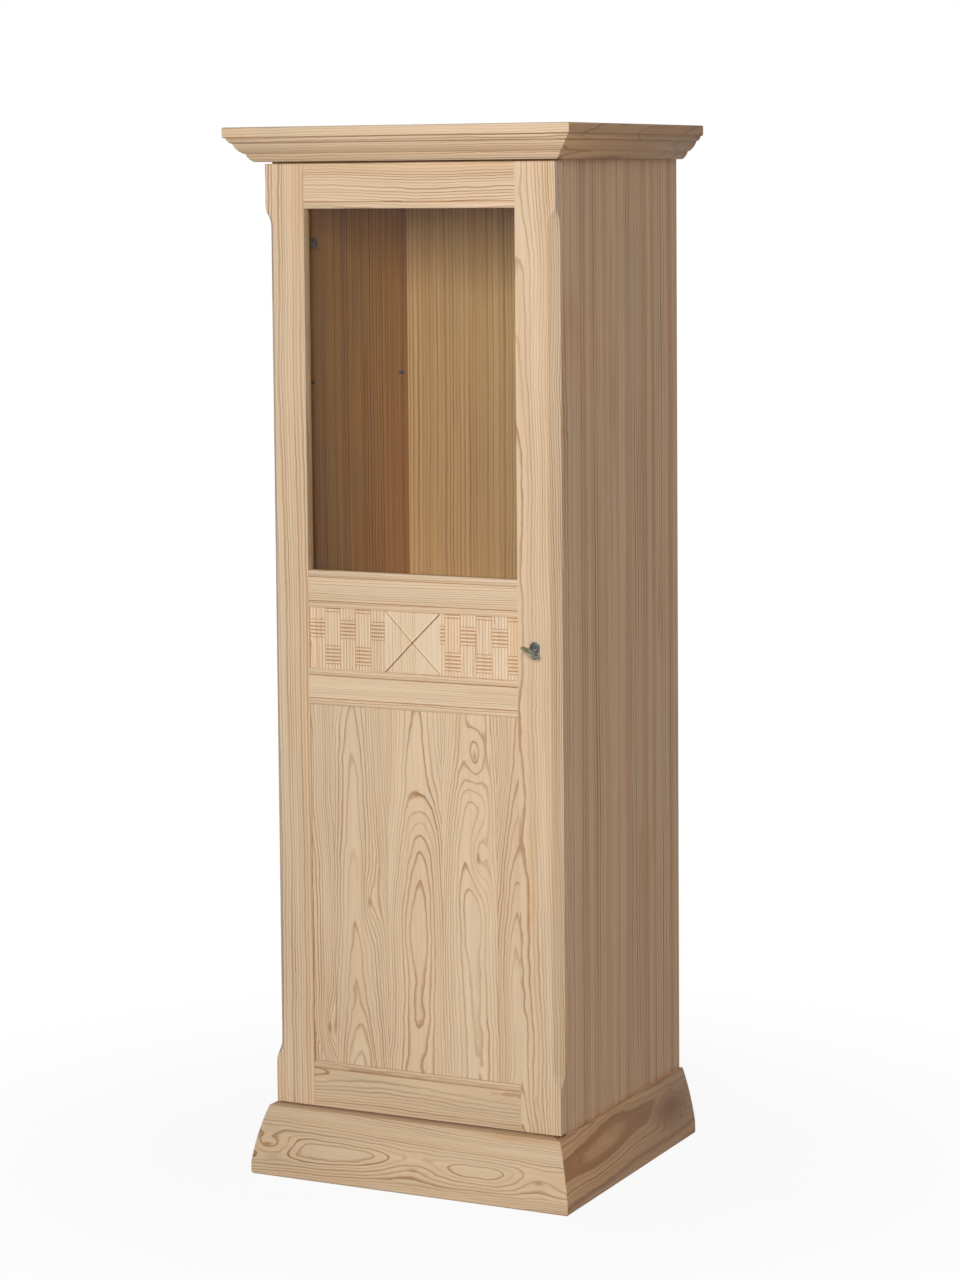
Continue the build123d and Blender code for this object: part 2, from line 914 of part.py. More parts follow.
def hinge_plates():
    """The mounting plates with their screw wings, on the inside of the left side."""
    with BuildPart() as plates:
        for level in hinge_levels:
            block(
                (-inner_half, plate_front, level - arm_height / 2),
                (-inner_half + plate_thickness, plate_front + plate_length, level + arm_height / 2),
            )
            block(
                (-inner_half, plate_front + plate_wing_start, level - plate_height / 2),
                (
                    -inner_half + plate_wing,
                    plate_front + plate_wing_start + plate_wing_width,
                    level + plate_height / 2,
                ),
            )
        screw_holes(plate_screw_places())
    save(plates, "hinge_plates")


def hinge_arms():
    """The channel arms that straddle the plates and reach to the mouths of the cups."""
    arm_low = -inner_half + plate_wing
    arm_high = -inner_half + plate_thickness + arm_depth
    arm_front = door_back + cup_flange + arm_gap
    inside = arm_height / 2 + arm_play
    with BuildPart() as arms:
        for level in hinge_levels:
            block(
                (arm_low, arm_front, level - inside - arm_wall),
                (arm_high, arm_front + arm_length, level + inside + arm_wall),
            )
            cut(
                (arm_low, arm_front + arm_wall, level - inside),
                (arm_high - arm_wall, plate_front, level + inside),
            )
            cut(
                (arm_low, plate_front, level - inside),
                (-inner_half + plate_thickness, arm_front + arm_length, level + inside),
            )
    save(arms, "hinge_arms")


def hinges():
    """Three concealed hinges with their screws."""
    hinge_cups()
    hinge_plates()
    hinge_arms()
    screws("hinge_cup_screws", cup_screw_places())
    screws("hinge_plate_screws", plate_screw_places())


def lock_case():
    """The rim lock's case on the door's back, open inside for the cam and the bolt."""
    case_low = lock_height - lock_case_height / 2
    case_high = lock_height + lock_case_height / 2
    case_back = door_back + lock_case_depth
    with BuildPart() as case:
        block((lock_case_left, door_back, case_low), (lock_case_right, case_back, case_high))
        block(
            (lock_case_left, door_back, case_low - lock_lug),
            (lock_case_right, door_back + lock_case_wall, case_high + lock_lug),
        )
        cut(
            (lock_case_left + lock_case_wall, door_back + lock_case_wall, case_low + lock_case_wall),
            (lock_case_right - lock_case_wall, case_back - lock_case_wall, case_high - lock_case_wall),
        )
        cut(
            (lock_case_right - lock_case_wall, bolt_front - bolt_play, bolt_bottom - bolt_play),
            (lock_case_right, bolt_back + bolt_play, bolt_bottom + bolt_height + bolt_play),
        )
        with Locations(Location((lock_x, (door_back + case_back) / 2, lock_height), (90, 0, 0))):
            Cylinder(cam_radius + cam_play, 2 * lock_case_depth, mode=Mode.SUBTRACT)
        screw_holes(lock_screw_places())
    save(case, "lock_case")


def lock_cam():
    """The cam turned by the key: a bored barrel with one finger."""
    finger_front = door_back + lock_case_wall + bolt_play
    with BuildPart() as cam:
        with Locations(Location((lock_x, door_back + lock_case_depth, lock_height), (90, 0, 0))):
            Cylinder(
                cam_radius,
                lock_case_depth + cam_overlap,
                align=(Align.CENTER, Align.CENTER, Align.MIN),
            )
        block(
            (lock_x - cam_finger_width / 2, finger_front, lock_height - cam_finger),
            (lock_x + cam_finger_width / 2, finger_front + cam_finger_thickness, lock_height),
        )
        with Locations(Location((lock_x, door_back + lock_case_depth, lock_height), (90, 0, 0))):
            Cylinder(
                shank_radius + cam_play,
                2 * (lock_case_depth + cam_overlap),
                mode=Mode.SUBTRACT,
            )
    save(cam, "lock_cam")


def lock_bolt():
    """The square bolt, with its tip flush with the case while it is drawn back."""
    with BuildPart() as bolt:
        block(
            (lock_case_right - bolt_length, bolt_front, bolt_bottom),
            (lock_case_right, bolt_back, bolt_bottom + bolt_height),
        )
        chamfer(bolt.edges().filter_by(Axis.Z).sort_by(Axis.X)[-2:], bolt_chamfer)
    save(bolt, "lock_bolt")


def strike_plate():
    """The plate let into the right lipping, with the hole that takes the bolt."""
    with BuildPart() as strike:
        block(
            (inner_half, strike_front, lock_height - strike_height / 2),
            (inner_half + strike_thickness, strike_back, lock_height + strike_height / 2),
        )
        cut(
            (inner_half, bolt_front - bolt_margin, bolt_bottom - bolt_margin),
            (
                inner_half + strike_thickness,
                bolt_back + bolt_margin,
                bolt_bottom + bolt_height + bolt_margin,
            ),
        )
        screw_holes(strike_screw_places())
    save(strike, "strike_plate")


def escutcheon():
    """The oval keyhole plate: a bevelled rim round a sunk middle."""
    face = Plane(origin=(lock_x, door_face, lock_height), x_dir=(0, 0, 1), z_dir=(0, -1, 0))
    with BuildPart() as plate:
        with BuildSketch(face):
            SlotOverall(escutcheon_height, escutcheon_width)
        extrude(amount=escutcheon_plate + escutcheon_rim)
        chamfer(plate.faces().sort_by(Axis.Y)[0].edges(), escutcheon_bevel)
        with BuildSketch(face.offset(escutcheon_plate)):
            SlotOverall(
                escutcheon_height - 2 * escutcheon_border, escutcheon_width - 2 * escutcheon_border
            )
        extrude(amount=escutcheon_rim, mode=Mode.SUBTRACT)
        with Locations(Location((lock_x, door_face, lock_height), (90, 0, 0))):
            Cylinder(shank_radius + shank_play, 2 * door_thickness, mode=Mode.SUBTRACT)
    save(plate, "escutcheon")


def key():
    """The key, turned out of level as it stands in the door."""
    tilt = math.radians(key_tilt)
    bow_plane = Plane(
        origin=(lock_x, door_face - bow_standoff - bow_length / 2, lock_height),
        x_dir=(math.cos(tilt), 0, -math.sin(tilt)),
        z_dir=(-math.sin(tilt), 0, -math.cos(tilt)),
    )
    shank_end = door_back + lock_case_depth
    with BuildPart() as turned:
        with BuildSketch(bow_plane):
            Ellipse(bow_width / 2, bow_length / 2)
            Ellipse(bow_width / 2 - bow_wall, bow_length / 2 - bow_wall, mode=Mode.SUBTRACT)
        extrude(amount=bow_thickness / 2, both=True)
        with Locations(Location((lock_x, shank_end, lock_height), (90, 0, 0))):
            Cylinder(
                shank_radius,
                shank_end - door_face + bow_standoff + bow_wall / 2,
                align=(Align.CENTER, Align.CENTER, Align.MIN),
            )
        collar_face = door_face - escutcheon_plate - shank_play
        with Locations(Location((lock_x, collar_face, lock_height), (90, 0, 0))):
            Cylinder(collar_radius, collar_length, align=(Align.CENTER, Align.CENTER, Align.MIN))
    save(turned, "key")


def lock():
    """Rim lock, strike, keyhole plate and key."""
    lock_case()
    lock_cam()
    lock_bolt()
    strike_plate()
    escutcheon()
    key()
    screws("lock_screws", lock_screw_places())
    screws("strike_screws", strike_screw_places())


plinth()
cornice()
carcass()
shelves_and_pins()
door()
hinges()
lock()
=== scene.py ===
"""Looks of the pine display cabinet: sawn and brushed boards, woven carving, glass and fittings."""

import math
from collections import namedtuple

import bpy
import numpy as np
from mathutils import Matrix, Vector

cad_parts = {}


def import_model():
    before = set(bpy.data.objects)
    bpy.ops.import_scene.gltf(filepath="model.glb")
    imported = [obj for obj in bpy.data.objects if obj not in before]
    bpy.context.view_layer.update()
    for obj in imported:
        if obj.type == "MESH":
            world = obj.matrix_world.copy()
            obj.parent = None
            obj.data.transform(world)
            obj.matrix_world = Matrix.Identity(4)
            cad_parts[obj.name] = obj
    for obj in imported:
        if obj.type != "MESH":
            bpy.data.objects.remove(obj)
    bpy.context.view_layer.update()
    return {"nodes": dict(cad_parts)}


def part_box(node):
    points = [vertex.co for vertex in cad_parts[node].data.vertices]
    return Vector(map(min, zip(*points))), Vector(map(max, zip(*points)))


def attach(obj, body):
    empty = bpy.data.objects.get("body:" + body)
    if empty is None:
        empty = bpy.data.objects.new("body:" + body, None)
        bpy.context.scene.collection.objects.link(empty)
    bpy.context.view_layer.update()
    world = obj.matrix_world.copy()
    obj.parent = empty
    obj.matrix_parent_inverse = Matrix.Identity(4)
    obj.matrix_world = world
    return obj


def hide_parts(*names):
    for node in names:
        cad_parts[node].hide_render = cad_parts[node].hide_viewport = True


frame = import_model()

MM = 0.001

# The camera, worked out from the cabinet's corners in the photograph
IMAGE_HEIGHT = 1280
FOCAL_PIXELS = 3417.7
AXIS_ROW = 475
SENSOR = 36.0
CAMERA_PLACE = Vector((2.7597, -5.5742, 1.8041))
CAMERA_YAW = math.radians(26.168)
CAMERA_PITCH = math.radians(4.941)
CAMERA_ROLL = math.radians(-0.481)

# The room: one soft lamp, daylight from all round, and a floor that fades into white
KEY_PLACE = Vector((1.5, -5.2, 2.6))
KEY_AIM = Vector((0, 0, 0.95))
KEY_SIZE = 1.7
KEY_POWER = 218
KEY_COLOUR = (1.0, 0.99, 0.97)
DAYLIGHT = 0.16
FLOOR_HALF = 14.0
FLOOR_PLAIN = 0.92
FADE_START = 0.4
FADE_END = 1.5

# How far edges are rounded by sanding
EDGE_ROUND = 1.1 * MM
JOINT_ROUND = 0.3 * MM
MOULDING_ROUND = 0.6 * MM
METAL_ROUND = 0.35 * MM
SHARP_EDGE = math.radians(35)
FLAT_FACES = math.radians(0.5)

# Widths of the staves that the panels are glued from, and a width that no board reaches
SIDE_STAVE = 98 * MM
SIDE_JOINT = 223 * MM
PANEL_STAVE = 109 * MM
BACK_STAVE = 135 * MM
SHELF_STAVE = 92 * MM
WHOLE_BOARD = 9.0

# The amber skin inside, partly the wood's own colour and partly painted shade of the inside of the
# case, and the quirks beside the beads, where a shadow line is painted, measured from each rail's edge
SKIN = 0.35 * MM
BEAD_QUIRK = 12.1 * MM
CORNICE_QUIRKS = (18.2 * MM, 28.5 * MM)
QUIRK_HALF = 1.3 * MM
BEADED_BELOW = ("rail_top", "rail_under_glass", "rail_middle")
BEADED_ABOVE = ("rail_under_glass", "rail_middle", "rail_bottom")
CORNICE_LENGTHS = ("cornice_left", "cornice_front", "cornice_right")

# Grain of the pine, in waves a metre across, through and along a board
BEND_WAVES = (5, 5, 2.4)
RIPPLE_WAVES = (60, 60, 26)
FADE_WAVES = (16, 16, 2.4)
FIBRE_WAVES = (620, 620, 21)
STREAK_WAVES = (130, 130, 3.2)
CLOUD_WAVES = (22, 22, 2.8)
UNEVEN_WAVES = 46.0
HEART_WAVES = 24.0
KNOTS_ACROSS = 9.5
KNOTS_ALONG = 3.4
EYE_REACH = 0.46
CORE_REACH = 0.055
PITH_SHIFT = 0.014
SEAM_WIDTH = 0.9 * MM
GRAIN_RELIEF = 0.5 * MM

# Wear of the other finishes, in waves a metre
TARNISH_WAVES = (160, 160, 160)
SCRATCH_WAVES = (900, 240, 2600)
SCRATCH_RELIEF = 0.05 * MM
SMEAR_WAVES = (11, 11, 4)
DUST_WAVES = (420, 420, 420)

# The basket weave: columns of upright reeds, with short crossing reeds at every period
WEAVE_COLUMN = 30.8 * MM
WEAVE_SHORT = 33 * MM
WEAVE_PERIOD = 94 * MM
WEAVE_FIRST = 37.8 * MM
RIGHT_LEAD = 9 * MM
REEDS = 5
REED_DEPTH = 2.2 * MM
REED_CURVE = 2.6
CROSS_GAP = 0.26
UPRIGHT_GAP = 0.26
CROSS_END_CURVE = 9
UPRIGHT_END_CURVE = 8
COLUMN_GAP = 0.8 * MM

# How finely and where the carved faces are cut
CARVING_STEP = 0.45 * MM
CARVING_CLEAN = 0.7 * MM
CARVING_SINK = 0.2 * MM
CARVING_CREASE = math.radians(60)

# The pyramid between the woven blocks, with a strong and a faint grooved diagonal
PYRAMID_RISE = 2.2 * MM
VEE_WIDTH = 3.2 * MM
VEE_DEPTH = 2.2 * MM
FAINT_VEE = 0.45


def tone(red, green, blue):
    """A screen colour from 0 to 255 as the linear colour that a shader takes."""
    shares = [v / 255 for v in (red, green, blue)]
    linear = [v / 12.92 if v <= 0.04045 else ((v + 0.055) / 1.055) ** 2.4 for v in shares]
    return (*linear, 1.0)


# Shades of the pine: pale early wood, late wood of the ring lines, and warm resinous patches; some
# sets are darker copies that paint shade, as noted below
SHADES = {
    "front": (tone(221, 195, 165), tone(158, 116, 76), tone(214, 174, 131)),
    "side": (tone(222, 184, 146), tone(126, 78, 46), tone(196, 144, 98)),
    # Darker, more amber copies for the shelves and boards inside the case, and for the back and the
    # glazing beads: partly the wood's own warmer colour, partly painted shade and warm bounced light
    # inside the case
    "inner": (tone(205, 160, 104), tone(158, 112, 68), tone(186, 140, 88)),
    "back": (tone(218, 176, 122), tone(160, 116, 72), tone(202, 154, 98)),
    "rough": (tone(216, 190, 154), tone(178, 142, 102), tone(205, 168, 122)),
    # Darker, browner copy for the right-hand plinth and cornice: partly a resinous brown eye in the
    # wood itself, partly painted shade on faces that turn down and away from the lamp
    "resin_and_shade": (tone(198, 157, 117), tone(120, 78, 47), tone(146, 98, 62)),
    # A slightly darker copy of the front for the bottom rail and plinth front: painted shade low on
    # the front
    "shaded_foot": (tone(213, 187, 156), tone(150, 107, 68), tone(205, 164, 120)),
    "carved": (tone(228, 205, 177), tone(186, 148, 106), tone(220, 184, 142)),
}

# Tints that multiply the colour of the wood: the amber skin inside, partly painted shade, and painted
# shadow in the quirks, the deep carving and the pyramid's grooves; the last one lightens it as a
# painted highlight
INSIDE_AMBER_AND_SHADE = tone(246, 222, 150)
QUIRK_SHADOW = tone(200, 174, 146)
DEEP_CUT_SHADE = tone(214, 174, 132)
STRONG_GROOVE_SHADE = tone(182, 154, 128)
FAINT_GROOVE_SHADE = tone(214, 192, 166)
ARRIS_HIGHLIGHT = (1.16, 1.17, 1.2, 1.0)

# Short ways to build shader nodes


class Tree:
    """Adds nodes to one shader tree and joins them."""

    def __init__(self, tree):
        self.tree = tree

    def node(self, kind, **settings):
        made = self.tree.nodes.new(kind)
        for key, value in settings.items():
            setattr(made, key, value)
        return made

    def put(self, socket, value):
        """Joins a socket to another node's output, or sets it to a plain value."""
        if isinstance(value, bpy.types.NodeSocket):
            self.tree.links.new(value, socket)
        else:
            socket.default_value = value

    def math(self, operation, first, second=None, third=None):
        """Places one sum; MULTIPLY_ADD is first times second plus third."""
        made = self.node("ShaderNodeMath", operation=operation)
        for socket, value in zip(made.inputs, (first, second, third)):
            if value is not None:
                self.put(socket, value)
        return made.outputs[0]

    def vector(self, operation, first, second=None):
        made = self.node("ShaderNodeVectorMath", operation=operation)
        self.put(made.inputs[0], first)
        if second is not None:
            self.put(made.inputs[1], second)
        return made.outputs["Value" if operation in ("LENGTH", "DOT_PRODUCT") else "Vector"]

    def scaled(self, vector, amount):
        made = self.node("ShaderNodeVectorMath", operation="SCALE")
        self.put(made.inputs[0], vector)
        self.put(made.inputs["Scale"], amount)
        return made.outputs[0]

    def split(self, vector):
        made = self.node("ShaderNodeSeparateXYZ")
        self.put(made.inputs[0], vector)
        return made.outputs

    def join(self, x, y, z):
        made = self.node("ShaderNodeCombineXYZ")
        for socket, value in zip(made.inputs, (x, y, z)):
            self.put(socket, value)
        return made.outputs[0]

    def noise(self, vector, stretch, detail=2.0, roughness=0.5):
        """Noise stretched by a number of waves a metre along each axis."""
        made = self.node("ShaderNodeTexNoise")
        self.put(made.inputs["Vector"], self.vector("MULTIPLY", vector, stretch))
        self.put(made.inputs["Scale"], 1.0)
        self.put(made.inputs["Detail"], detail)
        self.put(made.inputs["Roughness"], roughness)
        return made.outputs

    def line_noise(self, value, detail=2.0):
        """Noise along a single value."""
        made = self.node("ShaderNodeTexNoise", noise_dimensions="1D")
        self.put(made.inputs["W"], value)
        self.put(made.inputs["Scale"], 1.0)
        self.put(made.inputs["Detail"], detail)
        return made.outputs[0]

    def range(self, value, low, high, to_low=0.0, to_high=1.0, smooth=True):
        """Maps a value from one range to another, with soft ends unless smooth is off."""
        kind = "SMOOTHSTEP" if smooth else "LINEAR"
        made = self.node("ShaderNodeMapRange", interpolation_type=kind)
        settings = (value, low, high, to_low, to_high)
        names = ("Value", "From Min", "From Max", "To Min", "To Max")
        for name, setting in zip(names, settings):
            self.put(made.inputs[name], setting)
        return made.outputs[0]

    def blend(self, share, first, second, kind="MIX"):
        """Mixes two colours."""
        made = self.node("ShaderNodeMix", data_type="RGBA", blend_type=kind)
        self.put(made.inputs["Factor"], share)
        self.put(made.inputs[6], first)
        self.put(made.inputs[7], second)
        return made.outputs[2]

    def group(self, kind, **values):
        """Places a node group; an input's name has spaces where the keyword has underscores."""
        made = self.node("ShaderNodeGroup", node_tree=kind)
        for key, value in values.items():
            self.put(made.inputs[key.replace("_", " ")], value)
        return made.outputs


def new_group(name, inputs, outputs):
    """Starts a node group and returns its tree and the sockets to take from and to fill."""
    made = bpy.data.node_groups.new(name, "ShaderNodeTree")
    for label, kind, value in inputs:
        socket = made.interface.new_socket(label, in_out="INPUT", socket_type=kind)
        if value is not None:
            socket.default_value = value
    for label, kind in outputs:
        made.interface.new_socket(label, in_out="OUTPUT", socket_type=kind)
    tree = Tree(made)
    return tree, tree.node("NodeGroupInput").outputs, tree.node("NodeGroupOutput").inputs


def new_material(name):
    """Starts a material and returns it with its tree and its Principled shader."""
    made = bpy.data.materials.new(name)
    made.use_nodes = True
    tree = Tree(made.node_tree)
    return made, tree, made.node_tree.nodes["Principled BSDF"]


# Pine


def stave_place(tree, given):
    """The place within its own stave, three chances of that stave, and its place in its own log."""
    across, through, along = tree.split(given["Place"])
    index = tree.math("ROUND", tree.math("DIVIDE", across, given["Stave"]))
    local = tree.math("SUBTRACT", across, tree.math("MULTIPLY", index, given["Stave"]))
    chance = tree.node("ShaderNodeTexWhiteNoise", noise_dimensions="3D")
    tree.put(chance.inputs["Vector"], tree.join(index, given["Seed"], 0.0))
    luck = tree.split(chance.outputs["Color"])
    in_log = tree.join(
        tree.math("MULTIPLY_ADD", luck[0], 9.0, local),
        tree.math("MULTIPLY_ADD", given["Seed"], 3.7, through),
        tree.math("MULTIPLY_ADD", luck[2], 11.0, along),
    )
    return (local, through, along), luck, in_log


def pith_distance(tree, given, place, luck, in_log):
    """How far sideways of the pith, and how far from it with the trunk's taper, a place is."""
    local, through, along = place
    slow = tree.vector("SUBTRACT", tree.noise(in_log, BEND_WAVES, 1.0)["Color"], (0.5, 0.5, 0.5))
    bend_x, bend_y, _ = tree.split(tree.scaled(slow, tree.math("MULTIPLY", given["Wander"], 3.0)))
    hand = tree.math("SIGN", tree.math("SUBTRACT", luck[0], 0.5))
    side = tree.math("MULTIPLY", given["Pith Side"], hand)
    pith_x = tree.math("ADD", side, tree.range(luck[1], 0, 1, -PITH_SHIFT, PITH_SHIFT, smooth=False))
    deeper = tree.range(luck[1], 0, 1, 0.8, 1.25, smooth=False)
    pith_y = tree.math("MULTIPLY", given["Pith Depth"], deeper)
    out_x = tree.math("ADD", tree.math("SUBTRACT", local, pith_x), bend_x)
    out_y = tree.math("ADD", tree.math("ADD", through, pith_y), bend_y)
    radius = tree.vector("LENGTH", tree.join(out_x, out_y, 0.0))
    return out_x, tree.math("MULTIPLY_ADD", along, given["Taper"], radius)


def knot_eyes(tree, given, place, luck):
    """Scattered eyes: how near a place is to one, how far it bends the rings, and its dark core."""
    local, _, along = place
    spots = tree.node("ShaderNodeTexVoronoi", voronoi_dimensions="2D")
    spot_x = tree.math("MULTIPLY", tree.math("MULTIPLY_ADD", luck[1], 5.0, local), KNOTS_ACROSS)
    spot_z = tree.math("MULTIPLY", tree.math("MULTIPLY_ADD", luck[2], 7.0, along), KNOTS_ALONG)
    tree.put(spots.inputs["Vector"], tree.join(spot_x, spot_z, 0.0))
    tree.put(spots.inputs["Scale"], 1.0)
    tree.put(spots.inputs["Randomness"], 0.8)
    away = spots.outputs["Distance"]
    rank = tree.split(spots.outputs["Color"])[0]
    strength = tree.math("MULTIPLY", given["Knots"], tree.range(rank, 0.35, 0.9))
    eye = tree.range(away, 0.0, EYE_REACH, 1.0, 0.0)
    core = tree.math("MULTIPLY", tree.range(away, 0.0, CORE_REACH, 1.0, 0.0), 50.0)
    return eye, strength, tree.math("MULTIPLY", core, strength)


def ring_lines(tree, given, radius, reach, luck, in_log):
    """Late wood: a line that darkens slowly and ends sharply in every ring, each ring its own."""
    uneven = tree.line_noise(tree.math("MULTIPLY", radius, UNEVEN_WAVES), 1.0)
    phase = tree.math("MULTIPLY_ADD", uneven, 2.0, tree.math("DIVIDE", radius, given["Ring"]))
    turn = tree.math("FRACT", phase)
    ring = tree.math("FLOOR", phase)
    chance = tree.node("ShaderNodeTexWhiteNoise", noise_dimensions="1D")
    tree.put(chance.inputs["W"], tree.math("MULTIPLY_ADD", luck[2], 90.0, ring))
    depth = tree.range(chance.outputs["Value"], 0.0, 1.0, 0.3, 1.0, smooth=False)
    widening = tree.range(reach, 0.0, 0.8, 0.3, 1.0, smooth=False)
    dark_share = tree.math("MULTIPLY", given["Line"], widening)
    start = tree.math("MULTIPLY_ADD", dark_share, -1.8, 0.95)
    rise = tree.range(turn, start, 0.93)
    fall = tree.range(turn, 0.95, 1.0, 1.0, 0.0)
    fade = tree.range(tree.noise(in_log, FADE_WAVES, 1.0)["Fac"], 0.3, 0.66, 0.5, 1.0)
    return tree.math("MULTIPLY", tree.math("MULTIPLY", rise, fall), tree.math("MULTIPLY", depth, fade))


def warm_patches(tree, given, radius, luck, in_log):
    """Resin clouds, and heart bands that follow the rings."""
    cloud = tree.range(tree.noise(in_log, CLOUD_WAVES, 2.0)["Fac"], 0.56, 0.78, 0.0, 0.7)
    shifted = tree.math("MULTIPLY_ADD", radius, HEART_WAVES, tree.math("MULTIPLY", luck[2], 50.0))
    heart = tree.range(tree.line_noise(shifted), 0.5, 0.66)
    return tree.math("MAXIMUM", cloud, tree.math("MULTIPLY", heart, given["Heart"]))


def board_light(tree, given, local, luck, fibre, streak):
    """How light the wood is: fibres, streaks, each stave's own tone, and the glued seams."""
    light = tree.math("MULTIPLY_ADD", fibre, 0.16, tree.math("MULTIPLY_ADD", streak, 0.26, 0.79))
    light = tree.math("MULTIPLY", light, tree.range(luck[1], 0, 1, 0.965, 1.035, smooth=False))
    inward = tree.math("MULTIPLY", tree.math("ABSOLUTE", local), -1)
    seam = tree.math("MULTIPLY_ADD", given["Stave"], 0.5, inward)
    return tree.math("MULTIPLY", light, tree.range(seam, 0.0, SEAM_WIDTH, 0.84, 1.0))


def sawn_pine_group():
    """Pine sawn from a log: Place is across, through and along the board, in metres.

    Rings lie round a pith line behind the board's face. They taper along the trunk, wander
    slowly, ripple finely and bend round knots. A glued panel has staves from different logs.
    """
    value = "NodeSocketFloat"
    colour = "NodeSocketColor"
    tree, given, out = new_group(
        "sawn_pine",
        (
            ("Place", "NodeSocketVector", None),
            ("Early Wood", colour, tone(226, 200, 166)),
            ("Late Wood", colour, tone(183, 145, 103)),
            ("Warm Wood", colour, tone(217, 176, 128)),
            ("Stave", value, WHOLE_BOARD),
            ("Pith Depth", value, 0.05),
            ("Pith Side", value, 0.0),
            ("Ring", value, 0.005),
            ("Line", value, 0.22),
            ("Taper", value, 0.02),
            ("Wander", value, 0.012),
            ("Ripple", value, 0.001),
            ("Knots", value, 0.01),
            ("Heart", value, 0.3),
            ("Seed", value, 0.0),
        ),
        (("Color", colour), ("Roughness", value), ("Height", value)),
    )
    place, luck, in_log = stave_place(tree, given)
    out_x, radius = pith_distance(tree, given, place, luck, in_log)
    eye, knot, core = knot_eyes(tree, given, place, luck)
    radius = tree.math("ADD", radius, tree.math("MULTIPLY", tree.math("MULTIPLY", eye, eye), knot))
    reach = tree.math("DIVIDE", tree.math("ABSOLUTE", out_x), radius)
    ripple = tree.math("SUBTRACT", tree.noise(in_log, RIPPLE_WAVES, 1.5)["Fac"], 0.5)
    ripple = tree.math("MULTIPLY", ripple, tree.range(reach, 0.0, 0.6, 0.7, 2.0, smooth=False))
    radius = tree.math("MULTIPLY_ADD", ripple, given["Ripple"], radius)
    rings = ring_lines(tree, given, radius, reach, luck, in_log)

    warm_eye = tree.math("MULTIPLY", eye, tree.math("MULTIPLY", knot, 34.0))
    warm_eye = tree.math("MULTIPLY", warm_eye, given["Heart"])
    warmth = tree.math("MAXIMUM", warm_patches(tree, given, radius, luck, in_log), warm_eye)
    shade = tree.blend(warmth, given["Early Wood"], given["Warm Wood"])
    shade = tree.blend(rings, shade, given["Late Wood"])
    shade = tree.blend(core, shade, given["Late Wood"])

    fibre = tree.noise(in_log, FIBRE_WAVES, 2.0, 0.6)["Fac"]
    streak = tree.noise(in_log, STREAK_WAVES, 2.0)["Fac"]
    light = board_light(tree, given, place[0], luck, fibre, streak)
    tree.put(out["Color"], tree.blend(1.0, shade, tree.join(light, light, light), "MULTIPLY"))
    rough = tree.math("MULTIPLY_ADD", fibre, 0.22, 0.46)
    tree.put(out["Roughness"], tree.math("MULTIPLY_ADD", rings, -0.08, rough))
    tree.put(out["Height"], tree.math("MULTIPLY_ADD", fibre, 0.3, tree.math("MULTIPLY", rings, 0.8)))
    return tree.tree


SAWN_PINE = sawn_pine_group()

# How a board is sawn, in metres. Line is the dark share of a ring, and Heart how warm it turns.
CUTS = {
    "flame": dict(
        Pith_Depth=0.045, Pith_Side=0.0, Ring=0.0040, Line=0.34, Taper=0.036, Wander=0.012,
        Ripple=0.0020, Knots=0.016, Heart=0.3,
    ),
    "plain": dict(
        Pith_Depth=0.050, Pith_Side=0.032, Ring=0.0046, Line=0.32, Taper=0.014, Wander=0.010,
        Ripple=0.0022, Knots=0.004, Heart=0.3,
    ),
    "straight": dict(
        Pith_Depth=0.035, Pith_Side=0.075, Ring=0.0060, Line=0.38, Taper=0.006, Wander=0.006,
        Ripple=0.0022, Knots=0.0, Heart=0.35,
    ),
    "fine": dict(
        Pith_Depth=0.030, Pith_Side=0.120, Ring=0.0078, Line=0.34, Taper=0.003, Wander=0.004,
        Ripple=0.0010, Knots=0.0, Heart=0.5,
    ),
}
CUTS["lined"] = CUTS["straight"] | dict(Ring=0.0048, Line=0.24, Ripple=0.0018)
CUTS["quiet"] = CUTS["straight"] | dict(Ring=0.0042, Line=0.13, Ripple=0.0014, Heart=0.2)
CUTS["resinous"] = CUTS["flame"] | dict(Taper=0.012, Knots=0.02, Heart=1.6)

# A painted shade over a board's colour, or a painted highlight where the tint is above 1, by the
# distance along a direction or from a centre there
Shade = namedtuple("Shade", "direction centre clean full tint")


def shaded_group():
    """Multiplies a colour by a tint, more and more as a distance goes from Clean to Full."""
    value = "NodeSocketFloat"
    colour = "NodeSocketColor"
    tree, given, out = new_group(
        "shaded",
        (
            ("Color", colour, tone(226, 200, 166)),
            ("Distance", value, 0.0),
            ("Clean", value, 0.0),
            ("Full", value, 0.001),
            ("Tint", colour, tone(190, 160, 130)),
        ),
        (("Color", colour),),
    )
    mask = tree.range(given["Distance"], given["Clean"], given["Full"])
    tree.put(out["Color"], tree.blend(mask, given["Color"], given["Tint"], "MULTIPLY"))
    return tree.tree


SHADED = shaded_group()


